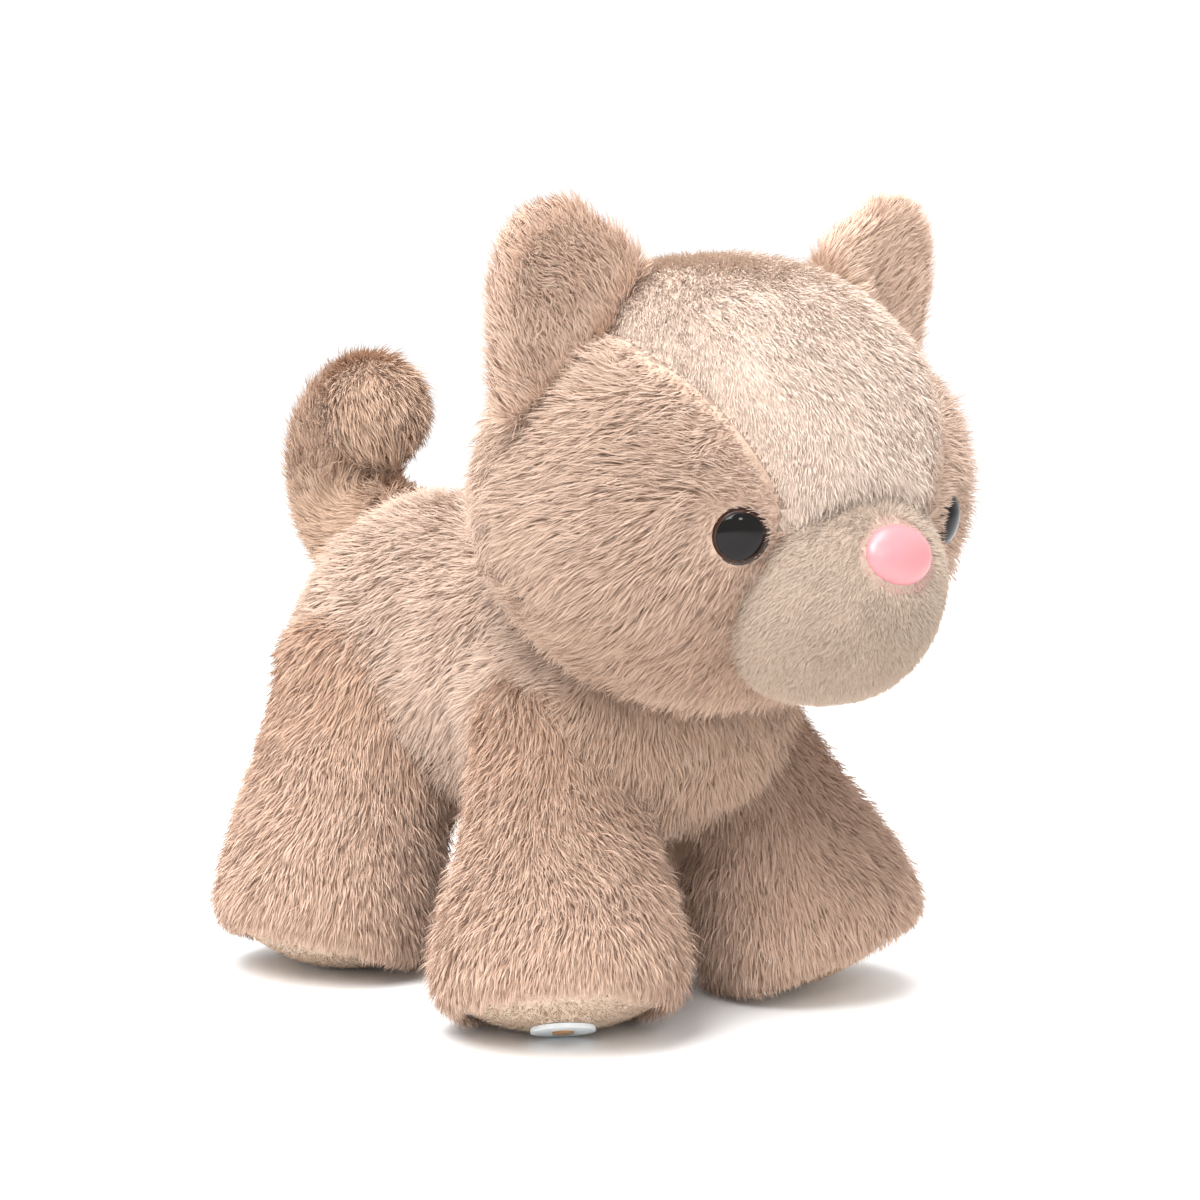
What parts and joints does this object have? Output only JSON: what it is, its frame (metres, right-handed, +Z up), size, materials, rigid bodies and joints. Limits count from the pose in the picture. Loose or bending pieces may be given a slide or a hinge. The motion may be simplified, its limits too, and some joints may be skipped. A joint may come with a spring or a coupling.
{
  "type": "interactive plush pet",
  "caption": "Standing plush kitten with stuffed swinging legs, turning head and tail, a press-button nose, a sprung paw contact and a sound module behind a belly flap.",
  "frame": {"origin": "on the ground at the middle of the toy's outline seen from above", "axes": "+Z up, the toy faces -Y, +X towards its left side"},
  "size_m": [0.1472, 0.2542, 0.21],
  "materials": {
    "long_fur": "long soft pile plush",
    "short_fur": "short velvety pile",
    "sole_cloth": "short velvety pile",
    "eye_plastic": "polished",
    "washer_plastic": "moulded",
    "nose_plastic": "polished, slightly see-through",
    "white_plastic": "satin",
    "case_plastic": "fine moulded grain",
    "tape": "hook and loop tape",
    "spring_steel": "plated wire and strip",
    "board_green": "solder mask",
    "black_plastic": "moulded",
    "led_pink": "clear epoxy",
    "lead_red": "insulated lead",
    "lead_grey": "insulated lead",
    "cell_sleeve": "printed sleeve, plain",
    "speaker_paper": "pressed paper",
    "magnet_steel": "ferrite and steel",
    "contact_brass": "plated"
  },
  "bodies": {
    "torso": {"torso_plush": "long_fur", "pouch_loop_tape": "tape", "module_case_upper": "case_plastic", "module_case_lower": "case_plastic", "battery_door": "case_plastic", "battery_door_screw": "spring_steel", "case_screws": "spring_steel", "battery_1": "cell_sleeve", "battery_2": "cell_sleeve", "battery_springs": "spring_steel", "battery_plates": "spring_steel", "speaker_frame": "black_plastic", "speaker_cone": "speaker_paper", "speaker_magnet": "magnet_steel", "circuit_board": "board_green", "sound_chip": "black_plastic", "motion_switch": "contact_brass", "power_switch_body": "black_plastic", "neck_lead": "lead_red", "paw_link_lead": "lead_grey"},
    "flap": {"access_flap": "long_fur", "flap_hook_tape": "tape"},
    "switch": {"power_switch_slider": "white_plastic"},
    "neck": {"neck_plush": "long_fur"},
    "head": {"head_plush": "long_fur", "muzzle_plush": "short_fur", "eye_right": "eye_plastic", "eye_left": "eye_plastic", "eye_washer_right": "washer_plastic", "eye_washer_left": "washer_plastic", "nose_housing": "white_plastic", "nose_spring": "spring_steel", "nose_board": "board_green", "nose_led": "led_pink", "nose_switch": "black_plastic", "nose_lead": "lead_red"},
    "nose": {"nose_button": "nose_plastic"},
    "ear_r": {"ear_right": "long_fur"},
    "ear_l": {"ear_left": "long_fur"},
    "leg_fr": {"leg_front_right": "long_fur", "sole_front_right": "sole_cloth", "paw_contact_housing": "white_plastic", "paw_contact_spring": "spring_steel", "paw_contact_washer": "washer_plastic", "paw_lead": "lead_grey"},
    "pin": {"paw_contact_pin": "contact_brass"},
    "leg_fl": {"leg_front_left": "long_fur", "sole_front_left": "sole_cloth"},
    "leg_hr": {"leg_hind_right": "long_fur", "sole_hind_right": "sole_cloth"},
    "leg_hl": {"leg_hind_left": "long_fur", "sole_hind_left": "sole_cloth"},
    "tail": {"tail_plush": "long_fur"}
  },
  "joints": [
    {"name": "head_turn", "type": "hinge", "parent": "torso", "child": "neck", "pos_m": [0, -0.059, 0.14], "axis": [0, -0.494, 0.8695], "range_deg": [-25, 25], "stiffness_Nm_per_rad": 1.5},
    {"name": "head_nod", "type": "hinge", "parent": "neck", "child": "head", "pos_m": [0, -0.059, 0.14], "axis": [1, 0, 0], "range_deg": [-15, 8], "stiffness_Nm_per_rad": 2},
    {"name": "nose_press", "type": "slide", "parent": "head", "child": "nose", "axis": [0, 0.947, -0.3212], "range_m": [0, 0.0012], "stiffness_N_per_m": 400, "deforming": ["nose_spring"]},
    {"name": "ear_fold_right", "type": "hinge", "parent": "head", "child": "ear_r", "pos_m": [-0.031, -0.059, 0.189], "axis": [-0.6828, 0.1241, -0.72], "range_deg": [-5, 10], "stiffness_Nm_per_rad": 0.3},
    {"name": "ear_fold_left", "type": "hinge", "parent": "head", "child": "ear_l", "pos_m": [0.031, -0.059, 0.189], "axis": [0.6828, 0.1241, -0.72], "range_deg": [-10, 5], "stiffness_Nm_per_rad": 0.3},
    {"name": "leg_swing_front_right", "type": "hinge", "parent": "torso", "child": "leg_fr", "pos_m": [-0.029, -0.025, 0.075], "axis": [1, 0, 0], "range_deg": [-15, 6], "stiffness_Nm_per_rad": 3},
    {"name": "leg_swing_front_left", "type": "hinge", "parent": "torso", "child": "leg_fl", "pos_m": [0.029, -0.025, 0.075], "axis": [1, 0, 0], "range_deg": [-15, 6], "stiffness_Nm_per_rad": 3},
    {"name": "leg_swing_hind_right", "type": "hinge", "parent": "torso", "child": "leg_hr", "pos_m": [-0.028, 0.057, 0.076], "axis": [1, 0, 0], "range_deg": [-12, 12], "stiffness_Nm_per_rad": 3},
    {"name": "leg_swing_hind_left", "type": "hinge", "parent": "torso", "child": "leg_hl", "pos_m": [0.028, 0.057, 0.076], "axis": [1, 0, 0], "range_deg": [-12, 12], "stiffness_Nm_per_rad": 3},
    {"name": "paw_pin_press", "type": "slide", "parent": "leg_fr", "child": "pin", "axis": [0.211, 0.332, 0.9194], "range_m": [0, 0.0008], "stiffness_N_per_m": 400, "deforming": ["paw_contact_spring"]},
    {"name": "tail_wag", "type": "hinge", "parent": "torso", "child": "tail", "pos_m": [0, 0.09106, 0.11568], "axis": [0, 1, 0], "range_deg": [-25, 25], "stiffness_Nm_per_rad": 0.8},
    {"name": "flap_open", "type": "hinge", "parent": "torso", "child": "flap", "pos_m": [0, 0.035, 0.0508], "axis": [1, 0, 0], "range_deg": [0, 70]},
    {"name": "power_switch_slide", "type": "slide", "parent": "torso", "child": "switch", "axis": [0, 1, 0], "range_m": [0, 0.003]}
  ]
}
